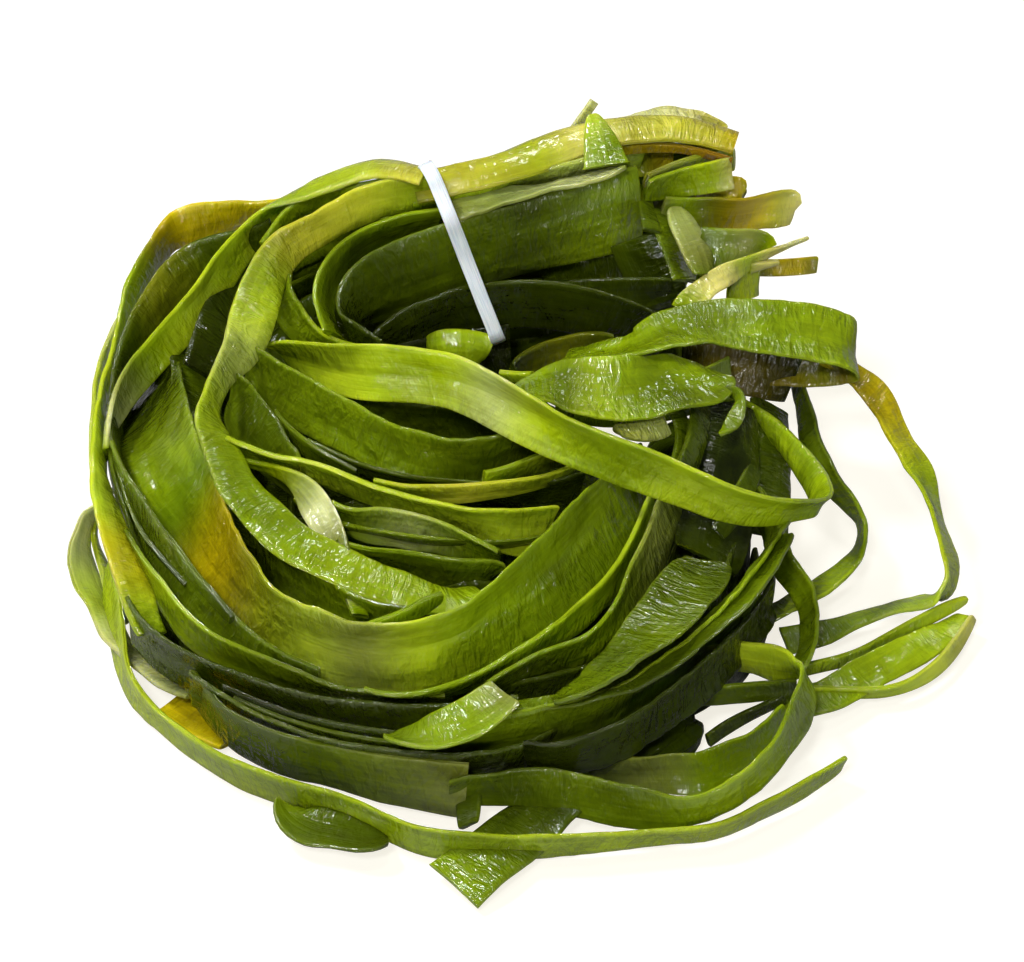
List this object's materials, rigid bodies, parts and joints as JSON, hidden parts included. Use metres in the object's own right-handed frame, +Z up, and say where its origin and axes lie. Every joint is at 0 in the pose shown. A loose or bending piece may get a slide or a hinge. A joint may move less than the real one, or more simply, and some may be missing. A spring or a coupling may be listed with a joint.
{
  "type": "tied bundle of wet kelp strips",
  "caption": "Coiled bundle of wet green kelp strips, folded into a lying loop with loose ends and held by a narrow tie round its back limb.",
  "frame": {"origin": "centre of the bundle's box, on the surface it lies on", "axes": "+X along the bundle's long way, towards its loose loops and ends; +Y towards the tied back limb; +Z up"},
  "size_m": [0.1724, 0.1602, 0.0637],
  "materials": {
    "kelp": "wet, glossy and slightly translucent kelp, yellow-green to dark olive",
    "tie": "flat white fibre tie, slightly glossy where it is wet"
  },
  "bodies": {
    "root": {"kelp_bundle": "kelp", "tie": "tie"}
  },
  "joints": []
}
